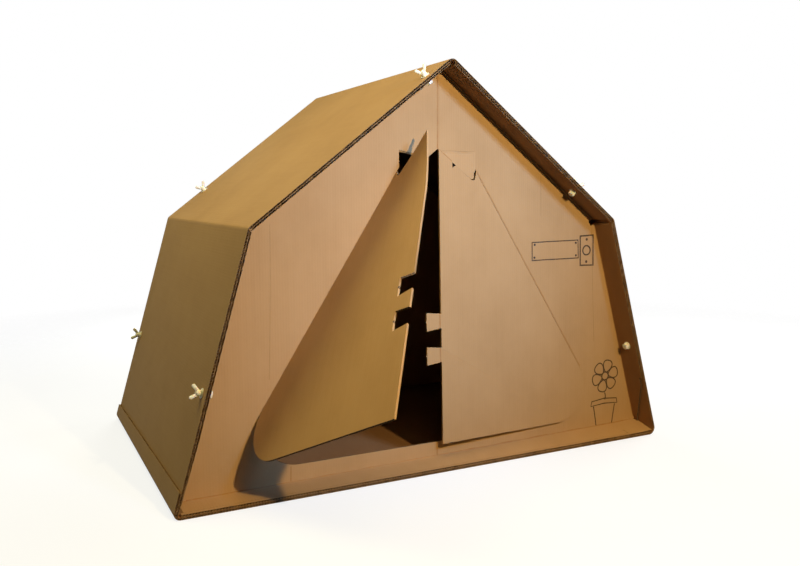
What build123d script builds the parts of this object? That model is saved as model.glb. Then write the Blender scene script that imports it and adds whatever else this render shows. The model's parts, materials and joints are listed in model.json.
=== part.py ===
"""Cardboard play tent: a folded house-shaped sleeve, two flanged end sheets and nylon fasteners.

Millimetres, +Z up. The origin is the middle of the floor's underside, the doorway faces -Y
and +X is to the right of someone who looks at the doorway.
"""
import math
import os

from build123d import *

# House outline, measured on the outside of the sleeve
floor_width = 1300.0
eave_width = 964.0
eave_height = 590.0
ridge_height = 965.0
tent_depth = 841.0
left_foot_radius = 14.0
right_foot_radius = 45.0
eave_radius = 12.0
ridge_radius = 8.0

# Corrugated card
card_thickness = 5.0
layer_gap = 0.3
fold_radius = 2.0
crease_width = 4.0
crease_depth = 1.0
cut_overrun = 10.0

# Glued lap on the outside of the left wall's foot
lap_height = 60.0

# End sheets: how far their face stands back, and the relief cuts between their flanges
panel_inset = 70.0
flange_setback = 2.0
relief_width = 9.0
relief_depth = 9.0
wall_flange_taper = 190.0
wall_flange_root = 6.0

# Doorway in the front sheet
door_apex_height = 763.0
sill_height = 52.0
hinge_top_height = 720.0
hinge_lean_deg = 32.6
door_corner_radius = 94.0
door_kerf = 1.0
hinge_gap = 0.4
horn_gap = 1.6
horn_drop = 8.0

# Tabs over the doorway
tab_width = 101.0
tab_drop = 77.0
tab_tip_radius = 6.0
tab_crease_drop = 8.0
pushed_tab_start = 26.0
pushed_tab_drop = 5.0
pushed_tab_deg = 96.0
pushed_tab_gap = 3.0
tab_slit = 1.0

# Dovetail tongues of the right door and the notches of the left door
tongue_heights = (354.0, 272.0)
tongue_length = 40.0
tongue_root = 35.0
tongue_tip = 44.0
tongue_nib = 3.0
tongue_overlap = 6.0
notch_clearance = 1.4
edge_nick_near = 39.0
edge_nick_far = 50.0
edge_nick_drop = 14.0

# Rest pose of the doors, in degrees from closed
left_door_open_deg = 84.0
right_door_open_deg = 3.4

# Fasteners
fastener_inset = 33.0
wall_fastener_height = 250.0
eave_fastener_offset = 130.0
ridge_fastener_offset = 68.0
screw_radius = 3.0
screw_hole_radius = 3.4
screw_end = 2.0
head_sides = 6
head_across_flats = 10.0
head_height = 4.0
washer_thickness = 1.5
nut_washer_radius = 10.5
head_washer_radius = 9.0
thread_clearance = 0.1
nut_height = 9.0
nut_foot_radius = 7.0
nut_top_radius = 4.6
wing_reach = 11.6
wing_rise = 13.4
wing_tip_radius = 2.9
wing_root_reach = 2.0
wing_root_rise = 5.0
wing_root_radius = 2.6
wing_thickness = 4.4
nut_turns_deg = (25.0, 70.0, 110.0, 15.0, 60.0, 140.0, 95.0, 35.0)

# Places worked out from the sizes above
half_floor = floor_width / 2
half_eave = eave_width / 2
front_y = -tent_depth / 2
face_y = front_y + panel_inset
wall_lean = math.atan2(half_floor - half_eave, eave_height)
roof_pitch = math.atan2(ridge_height - eave_height, half_eave)
roof_length = math.hypot(half_eave, ridge_height - eave_height)
sleeve_radii = (0, right_foot_radius, eave_radius, ridge_radius, eave_radius)
tray_radii = (0, right_foot_radius, 0, 0, 0)
flange_outside = card_thickness + layer_gap
flange_inside = flange_outside + card_thickness
wall_flange_foot = flange_inside + layer_gap
hinge_lean = math.radians(hinge_lean_deg)
hinge_foot_x = tab_width + (hinge_top_height - sill_height) * math.tan(hinge_lean)
tab_tip_height = door_apex_height - tab_drop
tab_crease_height = door_apex_height - tab_crease_drop


def house_corners():
    """Sharp corners of the outline: left foot, right foot, right eave, ridge, left eave."""
    return [
        (-half_floor, 0),
        (half_floor, 0),
        (half_eave, eave_height),
        (0, ridge_height),
        (-half_eave, eave_height),
    ]


def inset_points(points, insets):
    """Corners of a closed polygon after each edge has moved inwards by its own inset."""
    area = sum(a[0] * b[1] - b[0] * a[1] for a, b in zip(points, points[1:] + points[:1]))
    turn = 1 if area > 0 else -1
    lines = []
    for (ax, az), (bx, bz), inset in zip(points, points[1:] + points[:1], insets):
        length = math.hypot(bx - ax, bz - az)
        nx = -(bz - az) / length * turn
        nz = (bx - ax) / length * turn
        lines.append((nx, nz, nx * ax + nz * az + inset))
    corners = []
    for (n1x, n1z, c1), (n2x, n2z, c2) in zip(lines[-1:] + lines[:-1], lines):
        det = n1x * n2z - n2x * n1z
        corners.append(((c1 * n2z - c2 * n1z) / det, (n1x * c2 - n2x * c1) / det))
    return corners


def rounded_face(points, radii):
    """Face inside a closed run of straight edges with rounded corners."""
    return make_face(FilletPolyline(*points, radius=radii, close=True))


def sharp_face(*points):
    """Face inside a closed run of straight edges."""
    return make_face(Polyline(*points, close=True))


def house_face(inset, radii):
    """The house outline, moved inwards by inset, with corners whose outside radii are given."""
    corners = inset_points(house_corners(), [inset] * len(radii))
    return rounded_face(corners, [max(radius - inset, 0) for radius in radii])


def slab(face, near_y, far_y):
    """Extrude a face drawn in X and Z from near_y to far_y."""
    plane = Plane(origin=(0, far_y, 0), x_dir=(1, 0, 0), z_dir=(0, -1, 0))
    return extrude(plane * face, amount=far_y - near_y)


def crease(start, end):
    """V-shaped groove in the front face of the front sheet, from start to end in X and Z."""
    run = Vector(end[0] - start[0], 0, end[1] - start[1])
    plane = Plane(origin=(start[0], face_y, start[1]), x_dir=(0, 1, 0), z_dir=run)
    half = crease_width / 2
    section = sharp_face((0, -half), (crease_depth, 0), (0, half))
    return extrude(plane * section, amount=run.length)


def make_sleeve():
    """One sheet folded round into walls, roof and floor, closed by the outside lap."""
    left_foot, right_foot, right_eave, ridge, left_eave = house_corners()
    lap_outside = (-math.cos(wall_lean) * card_thickness, math.sin(wall_lean) * card_thickness)
    lap_end = (left_foot[0] + lap_height * math.sin(wall_lean), lap_height * math.cos(wall_lean))
    lap_top = (lap_end[0] + lap_outside[0], lap_end[1] + lap_outside[1])
    lap_foot = (left_foot[0] - card_thickness / math.cos(wall_lean), 0)
    outside = rounded_face(
        (lap_foot, right_foot, right_eave, ridge, left_eave, lap_end, lap_top),
        (left_foot_radius, right_foot_radius, eave_radius, ridge_radius, eave_radius, 0, 0),
    )
    section = outside - house_face(card_thickness, sleeve_radii)
    return slab(section, front_y, front_y + tent_depth)


def relief(corner):
    """Slit between two flanges at a corner, wide enough to clear the sleeve's rounded fold."""
    outer = inset_points(house_corners(), [flange_outside] * len(sleeve_radii))[corner]
    inner = inset_points(house_corners(), [flange_inside] * len(sleeve_radii))[corner]
    run = Vector(outer[0] - inner[0], outer[1] - inner[1])
    half_turn = math.acos(card_thickness / run.length)
    roll = max(sleeve_radii[corner] - card_thickness, 0) * math.tan(half_turn)
    outline = Rectangle(2 * (run.length + relief_depth), relief_width + 2 * roll)
    angle = math.degrees(math.atan2(run.Y, run.X))
    slit = Pos(inner[0], inner[1]) * Rot(0, 0, angle) * outline
    return slab(slit, front_y - cut_overrun, face_y + card_thickness + cut_overrun)


def flange_taper(side):
    """Slanted cut at the foot of a wall flange, deepest at its front edge."""
    plane = Plane(origin=(side * half_floor, 0, 0), x_dir=(0, 1, 0), z_dir=(side, 0, 0))
    near_y = front_y - cut_overrun
    far_y = face_y - wall_flange_root
    outline = sharp_face(
        (near_y, side * wall_flange_foot),
        (near_y, side * wall_flange_taper),
        (far_y, side * wall_flange_foot),
    )
    reach = wall_flange_taper * math.tan(wall_lean) + flange_inside + cut_overrun
    return extrude(plane * outline, amount=-reach) + extrude(plane * outline, amount=cut_overrun)


def make_end_tray():
    """End sheet at the front: a house-shaped face with a flange folded forward on every side."""
    edge_y = front_y + flange_setback
    back_y = face_y + card_thickness
    outside = slab(house_face(flange_outside, tray_radii), edge_y, back_y)
    inside = slab(house_face(flange_inside, tray_radii), edge_y - cut_overrun, face_y)
    outside = fillet(outside.edges().group_by(Axis.Y)[-1], fold_radius + card_thickness)
    inside = fillet(inside.edges().group_by(Axis.Y)[-1], fold_radius)
    tray = outside - inside
    for corner, radius in enumerate(tray_radii):
        if radius == 0:
            tray -= relief(corner)
    for side in (-1, 1):
        tray -= flange_taper(side)
    return tray


def half_doorway(side):
    """Corners of one half of the doorway: apex, tab tip, hinge top, hinge foot, sill middle."""
    return [
        (0, door_apex_height),
        (side * tab_width, tab_tip_height),
        (side * tab_width, hinge_top_height),
        (side * hinge_foot_x, sill_height),
        (0, sill_height),
    ]


def doorway_face():
    """The whole doorway, both halves."""
    right = half_doorway(1)[:-1]
    left = half_doorway(-1)[-2:0:-1]
    radii = (0, tab_tip_radius, 0, door_corner_radius, door_corner_radius, 0, tab_tip_radius)
    return rounded_face(right + left, radii)


def tab_edge_height(x):
    """Height of the slanted doorway edge at a distance x from the middle."""
    return door_apex_height - tab_drop * x / tab_width


def pushed_tab(sheet):
    """Cut the left tab free of the sheet and fold it inwards about its crease."""
    fold_start = (-pushed_tab_start, tab_edge_height(pushed_tab_start))
    fold_end = (-tab_width, door_apex_height - pushed_tab_drop)
    slit_x = -tab_width - tab_slit
    hole = sharp_face(
        fold_start,
        fold_end,
        (slit_x, fold_end[1]),
        (slit_x, tab_tip_height - tab_slit),
        (-tab_width, tab_tip_height - tab_slit),
    )
    tab_corners = [fold_start, fold_end, (-tab_width, tab_tip_height)]
    tab = rounded_face(
        inset_points(tab_corners, (0, tab_slit, pushed_tab_gap)),
        (0, 0, tab_tip_radius),
    )
    sheet -= slab(hole, face_y - cut_overrun, face_y + card_thickness + cut_overrun)
    middle_y = face_y + card_thickness / 2
    origin = (fold_start[0], middle_y, fold_start[1])
    run = (fold_start[0] - fold_end[0], 0, fold_start[1] - fold_end[1])
    folded = slab(tab, face_y, face_y + card_thickness).rotate(Axis(origin, run), pushed_tab_deg)
    return sheet + folded


def make_front_panel():
    """Front end sheet with the doorway, its two tabs and the centre crease."""
    sheet = make_end_tray()
    sheet -= slab(doorway_face(), face_y - cut_overrun, face_y + card_thickness + cut_overrun)
    slit_foot = (tab_tip_height + hinge_top_height) / 2
    slit_height = tab_crease_height - slit_foot
    slit = Pos(tab_width + tab_slit / 2, slit_foot + slit_height / 2)
    slit = slit * Rectangle(tab_slit, slit_height)
    sheet -= slab(slit, face_y - cut_overrun, face_y + card_thickness + cut_overrun)
    sheet = pushed_tab(sheet)
    tab_start = tab_crease_drop / tab_drop * tab_width - crease_width
    tab_end = tab_width + tab_slit / 2
    sheet -= crease((tab_start, tab_crease_height), (tab_end, tab_crease_height))
    ridge_inside = ridge_height - (flange_inside + relief_depth) / math.cos(roof_pitch)
    sheet -= crease((0, door_apex_height - crease_width), (0, ridge_inside))
    sheet -= crease((0, flange_inside + fold_radius), (0, sill_height + crease_width))
    return sheet


def tongue_face(middle_height, grow):
    """Dovetail tongue that reaches left across the middle line, made larger all round by grow."""
    root = tongue_root / 2 + grow
    tip = tongue_tip / 2 + grow
    length = tongue_length + grow
    return sharp_face(
        (tongue_overlap, middle_height - root),
        (door_kerf, middle_height - root),
        (-length, middle_height - tip),
        (-length, middle_height - tongue_nib),
        (-length - tongue_nib, middle_height),
        (-length, middle_height + tongue_nib),
        (-length, middle_height + tip),
        (door_kerf, middle_height + root),
        (tongue_overlap, middle_height + root),
    )


def door_face(side):
    """One door flap, flat and closed, clear of the doorway by its kerf.

    The horn beside the tab leans away from it and stops short of the hinge's top, so that
    the card's thickness clears the tab's edge as the door turns.
    """
    apex, tab_tip, _, hinge_foot, sill = half_doorway(side)
    horn_x = side * (tab_width + horn_drop * math.tan(hinge_lean))
    outline = [apex, tab_tip, (horn_x, hinge_top_height - horn_drop), hinge_foot, sill]
    insets = (door_kerf, horn_gap, hinge_gap, door_kerf, door_kerf)
    corners = inset_points(outline, insets)
    radii = (0, tab_tip_radius + door_kerf, 0, door_corner_radius - door_kerf, 0)
    return rounded_face(corners, radii)


def edge_nick():
    """Small triangular nick in the right door's slanted edge."""
    near = (edge_nick_near, tab_edge_height(edge_nick_near))
    far = (edge_nick_far, tab_edge_height(edge_nick_far))
    return sharp_face(near, (edge_nick_near, near[1] - edge_nick_drop), far)


def hinge_axis(side):
    """Crease that a door turns about: positive angles open it outwards."""
    top = Vector(side * tab_width, face_y, hinge_top_height)
    foot = Vector(side * hinge_foot_x, face_y, sill_height)
    return Axis(foot, top - foot) if side > 0 else Axis(top, foot - top)


def make_right_door():
    """Right door flap with its two tongues, a little ajar."""
    flap = door_face(1) - edge_nick()
    for height in tongue_heights:
        flap += tongue_face(height, 0)
    door = slab(flap, face_y, face_y + card_thickness)
    crease_x = door_kerf - crease_width
    for height in tongue_heights:
        door -= crease((crease_x, height - tongue_tip / 2), (crease_x, height + tongue_tip / 2))
    return door.rotate(hinge_axis(1), right_door_open_deg)


def make_left_door():
    """Left door flap with its two notches, swung open."""
    flap = door_face(-1)
    for height in tongue_heights:
        flap -= tongue_face(height, notch_clearance)
    return slab(flap, face_y, face_y + card_thickness).rotate(hinge_axis(-1), left_door_open_deg)


def fastener_planes():
    """Planes on the outside of the sleeve, one for each fastener, with Z pointing outwards."""
    planes = []
    for end in (-1, 1):
        y = end * (tent_depth / 2 - fastener_inset)
        for side in (-1, 1):
            wall_x = half_floor - wall_fastener_height * math.tan(wall_lean)
            wall_normal = (side * math.cos(wall_lean), 0, math.sin(wall_lean))
            planes.append(((side * wall_x, y, wall_fastener_height), wall_normal))
            near_ridge = end * side > 0
            down = ridge_fastener_offset if near_ridge else roof_length - eave_fastener_offset
            roof_x = down * math.cos(roof_pitch)
            roof_z = ridge_height - down * math.sin(roof_pitch)
            roof_normal = (side * math.sin(roof_pitch), 0, math.cos(roof_pitch))
            planes.append(((side * roof_x, y, roof_z), roof_normal))
    return [Plane(origin=place, x_dir=(0, 1, 0), z_dir=normal) for place, normal in planes]


def make_screw():
    """Washer-faced hexagon screw from its head inside the tent to its end past the wing nut."""
    seat = -flange_inside
    end = washer_thickness + nut_height + screw_end
    outline = RegularPolygon(head_across_flats / 2, head_sides, major_radius=False)
    head = extrude(Pos(0, 0, seat - washer_thickness) * outline, amount=-head_height)
    washer_face = extrude(Pos(0, 0, seat) * Circle(head_washer_radius), amount=-washer_thickness)
    shank = extrude(Pos(0, 0, seat) * Circle(screw_radius), amount=end - seat)
    return head + washer_face + shank


def make_wing_nut():
    """Wing nut: a washer base and a tapered hub with two round-tipped ears that lean apart."""
    on_foot = (Align.CENTER, Align.CENTER, Align.MIN)
    base = extrude(Circle(nut_washer_radius), amount=washer_thickness)
    hub = Cone(nut_foot_radius, nut_top_radius, nut_height, align=on_foot)
    tip = Pos(wing_reach, wing_rise) * Circle(wing_tip_radius)
    root = Pos(wing_root_reach, wing_root_rise) * Circle(wing_root_radius)
    ear = make_hull(tip.edges() + root.edges())
    plane = Plane(origin=(0, wing_thickness / 2, 0), x_dir=(1, 0, 0), z_dir=(0, -1, 0))
    wing = extrude(plane * ear, amount=wing_thickness)
    nut = base + Pos(0, 0, washer_thickness) * (hub + wing + mirror(wing, about=Plane.YZ))
    return nut - Cylinder(screw_radius + thread_clearance, nut_height + wing_rise, align=on_foot)


def main():
    os.makedirs("parts", exist_ok=True)
    planes = fastener_planes()
    bore = Pos(0, 0, -flange_inside / 2) * Cylinder(screw_hole_radius, flange_inside * 2)
    bores = [plane * bore for plane in planes]
    screw = make_screw()
    wing_nut = make_wing_nut()
    pieces = {
        "sleeve": make_sleeve() - bores,
        "front_panel": make_front_panel() - bores,
        "back_panel": mirror(make_end_tray(), about=Plane.XZ) - bores,
        "left_door": make_left_door(),
        "right_door": make_right_door(),
        "screws": Compound(children=[plane * screw for plane in planes]),
        "wing_nuts": Compound(
            children=[plane * Rot(0, 0, turn) * wing_nut for plane, turn in zip(planes, nut_turns_deg)]
        ),
    }
    for name, piece in pieces.items():
        export_step(piece, f"parts/{name}.step")


main()
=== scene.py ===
"""Looks of a folding card play tent: a sleeve, two flanged end sheets and two door flaps."""

import json
import math

import bmesh
import bpy
from bpy.props import FloatProperty, FloatVectorProperty, IntProperty, PointerProperty
from mathutils import Matrix, Vector


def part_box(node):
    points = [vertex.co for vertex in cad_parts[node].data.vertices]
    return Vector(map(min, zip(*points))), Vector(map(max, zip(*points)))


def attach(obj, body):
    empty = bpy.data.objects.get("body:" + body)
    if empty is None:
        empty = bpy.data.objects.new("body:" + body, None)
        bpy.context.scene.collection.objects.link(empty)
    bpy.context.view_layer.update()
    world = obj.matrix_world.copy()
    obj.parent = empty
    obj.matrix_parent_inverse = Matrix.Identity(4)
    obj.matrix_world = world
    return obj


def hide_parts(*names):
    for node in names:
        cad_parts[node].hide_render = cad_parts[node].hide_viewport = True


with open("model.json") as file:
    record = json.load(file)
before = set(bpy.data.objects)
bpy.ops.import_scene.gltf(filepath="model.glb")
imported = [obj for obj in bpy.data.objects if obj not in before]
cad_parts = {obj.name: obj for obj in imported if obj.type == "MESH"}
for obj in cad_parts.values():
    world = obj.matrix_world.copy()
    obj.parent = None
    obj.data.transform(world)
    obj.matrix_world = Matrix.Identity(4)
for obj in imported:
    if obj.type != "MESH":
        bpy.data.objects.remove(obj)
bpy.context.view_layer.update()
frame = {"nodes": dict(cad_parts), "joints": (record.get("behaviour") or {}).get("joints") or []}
SLEEVE_LOW, SLEEVE_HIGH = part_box("sleeve")

bl_info = {
    "name": "Card play tent",
    "version": (1, 0, 0),
    "blender": (4, 5, 0),
    "location": "3D View > Sidebar > Tent",
    "description": "Dresses the packed solids of a card play tent",
    "category": "Object",
}

MM = 0.001
SHEET_UV = "sheet"
# Finishes of the card, in the order of sheet_materials; the last is the liner darkened with painted
# shade
LINER, CUT, FLUTE, CREASE, PAINTED_SHADE = range(5)
# Plies of the card
OUTER, MIDDLE, INNER = range(3)


# Settings

def size_prop(name, description, default):
    """A size in metres."""
    return FloatProperty(name=name, description=description, default=default, unit="LENGTH")


def point_prop(name, description, default):
    """A place in metres."""
    return FloatVectorProperty(name=name, description=description, default=default, unit="LENGTH")


def colour_prop(name, description, default):
    """A colour."""
    return FloatVectorProperty(name=name, description=description, default=default, subtype="COLOR")


def angle_prop(name, description, degrees):
    """An angle, given in degrees."""
    default = math.radians(degrees)
    return FloatProperty(name=name, description=description, default=default, subtype="ANGLE")


def power_prop(name, description, default):
    """A lamp's power in watts."""
    return FloatProperty(name=name, description=description, default=default, unit="POWER")


class SheetSettings(bpy.types.PropertyGroup):
    """Sizes and colours of the corrugated card."""

    floor_width: size_prop("Floor width", "Floor between the outsides of the walls", 1.300)
    eave_width: size_prop("Eave width", "Width over the eaves", 0.964)
    eave_height: size_prop("Eave height", "Height of the eave folds", 0.590)
    ridge_height: size_prop("Ridge height", "Height of the ridge fold", 0.965)
    depth: size_prop("Depth", "Length of the sleeve", SLEEVE_HIGH.y - SLEEVE_LOW.y)
    card: size_prop("Card", "Thickness of the card", 0.0049)
    layer: size_prop("Layer step", "From one sheet's outside to the next", 0.0053)
    liner: size_prop("Liner", "Thickness of each paper face", 0.00055)
    medium: size_prop("Medium", "Thickness of the fluted paper", 0.00045)
    flute: size_prop("Flute pitch", "From one flute to the next", 0.00635)
    flute_steps: IntProperty(
        name="Flute steps", description="Points on each flute", default=8, min=4
    )
    pinch: FloatProperty(
        name="Pinch", description="Share of the thickness that a fold crushes", default=0.5,
        subtype="FACTOR",
    )
    pinch_reach: size_prop("Pinch reach", "How far a fold crushes the card", 0.006)
    lap: size_prop("Lap", "Height of the lap on the left wall", 0.060)
    lap_slant: size_prop("Lap slant", "How much lower the lap is at the back", 0.016)
    inset: size_prop("Inset", "From the sleeve's edge to an end sheet's face", 0.070)
    foot_fold: size_prop("Foot fold", "Radius of the fold at the right wall's foot", 0.018)
    ridge_fold: size_prop("Ridge fold", "Radius of the fold along the ridge", 0.016)
    packed_foot: size_prop("Packed foot", "Radius of that fold in the packed solids", 0.045)
    fold_lift: size_prop("Fold lift", "How far the bottom fold rises at the right", 0.014)
    tip_bend: size_prop("Tip bend", "How far the left door's top corner bends out", 0.019)
    setback: size_prop("Setback", "From the sleeve's edge to a flange's edge", 0.002)
    edge_depth: size_prop("Open edge", "How deep a flange's edge shows its flutes", 0.010)
    kraft: colour_prop("Kraft", "Main colour of the paper", (0.44, 0.268, 0.118))
    kraft_pale: colour_prop("Pale kraft", "Colour of the lighter fibres", (0.475, 0.295, 0.134))
    kraft_dark: colour_prop("Dark kraft", "Colour of the darker fibres", (0.395, 0.236, 0.100))
    # Crushed paper, darkened further as painted shade of the crease's groove
    crease: colour_prop("Crease", "Colour of the crushed paper in a crease", (0.36, 0.175, 0.062))
    # Painted shade: multiplies the liner's colour on the sleeve's inside and on the end sheets'
    # flanges
    painted_shade_tint: colour_prop(
        "Inside tint", "Share of the liner's colour left on the dusty inside", (0.58, 0.48, 0.43)
    )
    edge: colour_prop("Cut edge", "Colour of cut paper", (0.30, 0.19, 0.095))
    # Painted shade: the dark inside the flutes' hollows, painted on solid cut edges; fluted_paper
    # uses it for its darkest patches too
    gap: colour_prop("Flute gap", "Colour of the dark gaps in a cut edge", (0.045, 0.026, 0.013))


class FastenerSettings(bpy.types.PropertyGroup):
    """Sizes, places and colour of the nylon screws and wing nuts."""

    inset: size_prop("Inset", "From the sleeve's edge to a screw", 0.033)
    wall_height: size_prop("Wall screw", "Height of a wall's screw", 0.250)
    eave_offset: size_prop("Eave screw", "From the eave to a low roof screw", 0.130)
    ridge_offset: size_prop("Ridge screw", "From the ridge to a high roof screw", 0.068)
    washer: size_prop("Washer", "Thickness of a washer", 0.0015)
    nut_washer: size_prop("Nut washer", "Radius of the outside washer", 0.0110)
    head_washer: size_prop("Head washer", "Radius of the inside washer", 0.011)
    nut_height: size_prop("Nut", "Height of the hub", 0.011)
    nut_foot: size_prop("Hub foot", "Radius of the hub's foot", 0.0074)
    nut_top: size_prop("Hub top", "Radius of the hub's top", 0.0058)
    wing_reach: size_prop("Wing reach", "From the screw's axis to an ear's tip", 0.0124)
    wing_rise: size_prop("Wing rise", "Height of an ear's tip over the washer", 0.0190)
    wing_radius: size_prop("Wing radius", "Radius of an ear's round tip", 0.0043)
    wing_thickness: size_prop("Wing thickness", "Thickness of an ear", 0.0058)
    screw: size_prop("Screw", "Radius of the screw", 0.003)
    head_flats: size_prop("Head", "Hexagon head across its flats", 0.016)
    head_height: size_prop("Head height", "Height of the hexagon head", 0.009)
    nylon: colour_prop("Nylon", "Colour of the fasteners", (0.86, 0.82, 0.68))
    nylon_shade: colour_prop("Nylon shade", "Colour of their duller patches", (0.72, 0.69, 0.52))


class DrawingSettings(bpy.types.PropertyGroup):
    """Line drawings printed on the front sheet."""

    line: size_prop("Line", "Width of a printed line", 0.0036)
    film: size_prop("Film", "How proud the ink stands", 0.00015)
    ink: colour_prop("Ink", "Colour of the printing ink", (0.045, 0.028, 0.018))
    ink_worn: colour_prop("Worn ink", "Colour of thin ink", (0.13, 0.08, 0.045))


class StageSettings(bpy.types.PropertyGroup):
    """Floor, lamps and camera."""

    camera: point_prop("Camera", "Place of the camera", (-0.9436, -2.0234, 0.6614))
    yaw: angle_prop("Yaw", "Turn of the view", 26.74)
    pitch: angle_prop("Pitch", "Tilt of the view", -6.44)
    roll: angle_prop("Roll", "Roll of the view", -0.23)
    lens: FloatProperty(name="Lens", description="Focal length in millimetres", default=36.16)
    floor: colour_prop("Floor", "Colour of the floor", (0.82, 0.88, 0.98))
    floor_reach: size_prop("Floor reach", "Where the floor has faded into the backdrop", 3.0)
    key_place: point_prop("Key place", "Place of the warm lamp in front", (-0.014, -2.047, 1.207))
    key: colour_prop("Key lamp", "Colour of the warm lamp in front", (1.0, 0.74, 0.35))
    key_power: power_prop("Key power", "Power of the warm lamp", 116.0)
    cool: colour_prop("Window", "Colour of the pool of daylight", (0.25, 0.48, 1.0))
    cool_power: power_prop("Window power", "Power of the pool of daylight", 218.0)
    top: colour_prop("Top lamp", "Colour of the lamp overhead", (1.0, 0.90, 0.40))
    top_power: power_prop("Top power", "Power of the lamp overhead", 20.0)
    fill_power: power_prop("Fill power", "Power of the warm lamp over the front", 11.0)
    back_power: power_prop("Back power", "Power of the lamp behind the tent", 37.0)
    side_power: power_prop("Side power", "Power of the lamp on the tent's right", 30.0)
    sky: colour_prop("Room light", "Colour of the light all round", (1.0, 0.96, 0.88))
    sky_level: FloatProperty(
        name="Room level", description="Level of the light all round", default=0.012
    )


# Materials

def fresh_material(name):
    """A material with one empty shader; returns it with its node tree and the shader."""
    material = bpy.data.materials.new(name)
    material.use_nodes = True
    tree = material.node_tree
    return material, tree, tree.nodes["Principled BSDF"]


def add(tree, kind, inputs=None, **settings):
    """Add a node with its settings; an input is a value or another node's output."""
    node = tree.nodes.new("ShaderNode" + kind)
    for key, value in settings.items():
        setattr(node, key, value)
    for key, value in (inputs or {}).items():
        if isinstance(value, bpy.types.NodeSocket):
            tree.links.new(value, node.inputs[key])
        else:
            node.inputs[key].default_value = value
    return node


def math_node(tree, operation, first, second=0.0):
    """Result of one sum on two numbers or sockets."""
    return add(tree, "Math", {0: first, 1: second}, operation=operation).outputs[0]


def weighted(tree, *terms):
    """Sum of values, each given with its weight."""
    total = None
    for value, weight in terms:
        part = math_node(tree, "MULTIPLY", value, weight)
        total = part if total is None else math_node(tree, "ADD", total, part)
    return total


def grain(tree, place, scale, detail, roughness):
    """Noise over a place, from 0 to 1; the scale is one number, or one for each axis."""
    if isinstance(scale, float):
        scale = (scale, scale, scale)
    stretched = add(tree, "Mapping", {"Vector": place, "Scale": scale}).outputs[0]
    values = {"Vector": stretched, "Scale": 1.0, "Detail": detail, "Roughness": roughness}
    return add(tree, "TexNoise", values).outputs["Fac"]


def ramp(tree, value, stops):
    """Colour ramp through the given (place, colour) stops."""
    node = add(tree, "ValToRGB", {"Fac": value})
    elements = node.color_ramp.elements
    while len(elements) < len(stops):
        elements.new(0.5)
    for element, (place, colour) in zip(elements, stops):
        element.position = place
        element.color = (*colour, 1.0)
    return node.outputs["Color"]


def spread(tree, value, low, high, new_low, new_high):
    """Map a number from one range to another, held at its ends."""
    ends = {"Value": value, 1: low, 2: high, 3: new_low, 4: new_high}
    return add(tree, "MapRange", ends).outputs[0]


def flute_wave(tree, place, pitch):
    """Sine of the place across the flutes, from -1 to 1, and the place's other part."""
    parts = add(tree, "SeparateXYZ", {0: place}).outputs
    turns = math_node(tree, "MULTIPLY", parts[0], 2 * math.pi / pitch)
    return math_node(tree, "SINE", turns), parts[1]


def dress_shader(tree, shader, colour, rough, gloss, bump=None):
    """Link a colour, roughness as (grain, low, high) and bump as (height, strength, distance)."""
    value, low, high = rough
    tree.links.new(colour, shader.inputs["Base Color"])
    tree.links.new(spread(tree, value, 0.3, 0.7, low, high), shader.inputs["Roughness"])
    shader.inputs["Specular IOR Level"].default_value = gloss
    if bump:
        height, strength, distance = bump
        node = add(tree, "Bump", {"Height": height, "Strength": strength, "Distance": distance})
        tree.links.new(node.outputs[0], shader.inputs["Normal"])


def painted_inside_shade(tree, colour, sheets):
    """Darken a liner's colour with painted shade on the tent's inside, most near the folds under
    the roof.
    """
    parts = add(tree, "SeparateXYZ", {0: add(tree, "TexCoord").outputs["Object"]}).outputs
    fold_y = sheet_face(sheets, 1)
    from_middle = math_node(tree, "ABSOLUTE", parts[1])
    # Painted shade deepens beside the end sheets' folds, above the eaves only
    away = spread(tree, from_middle, fold_y + 3 * MM, fold_y + 26 * MM, 0.28, 1.0)
    wall_top = sheets.eave_height
    wall = spread(tree, parts[2], wall_top - 20 * MM, wall_top + 10 * MM, 1.0, 0.0)
    level = math_node(tree, "MAXIMUM", away, wall)
    tinted = add(tree, "VectorMath", {0: colour, 1: sheets.painted_shade_tint}, operation="MULTIPLY")
    shaded = {0: tinted.outputs[0], "Scale": level}
    return add(tree, "VectorMath", shaded, operation="SCALE").outputs[0]


def kraft_material(sheets, name="kraft_liner", shade_painted=False):
    """Kraft liner: clouds, streaks along the flutes, fibres, and the flutes' faint washboard."""
    material, tree, shader = fresh_material(name)
    place = add(tree, "UVMap", uv_map=SHEET_UV).outputs[0]
    wave, _ = flute_wave(tree, place, sheets.flute)
    clouds = grain(tree, place, (7.0, 5.0, 1.0), 5.0, 0.62)
    streaks = grain(tree, place, (120.0, 2.5, 1.0), 3.0, 0.6)
    fibres = grain(tree, place, (520.0, 1500.0, 1.0), 3.0, 0.7)
    # The flute wave's share of the tone is painted shading of the washboard; the bump below carries
    # its relief
    tone = weighted(tree, (clouds, 0.5), (streaks, 0.12), (fibres, 0.38), (wave, 0.012))
    tones = ((0.36, sheets.kraft_dark), (0.5, sheets.kraft), (0.66, sheets.kraft_pale))
    colour = ramp(tree, tone, tones)
    # Painted shade for the sleeve's inside and the flanges
    if shade_painted:
        colour = painted_inside_shade(tree, colour, sheets)
    relief = weighted(tree, (wave, 0.5), (clouds, 6.0), (fibres, 0.3))
    dress_shader(tree, shader, colour, (fibres, 0.62, 0.80), 0.1, (relief, 0.45, 0.12 * MM))
    return material


def painted_shade_liner_material(sheets):
    """Kraft liner on the inside of the sleeve and the flanges, darkened with painted shade."""
    return kraft_material(sheets, "liner_with_painted_shade", shade_painted=True)


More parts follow.
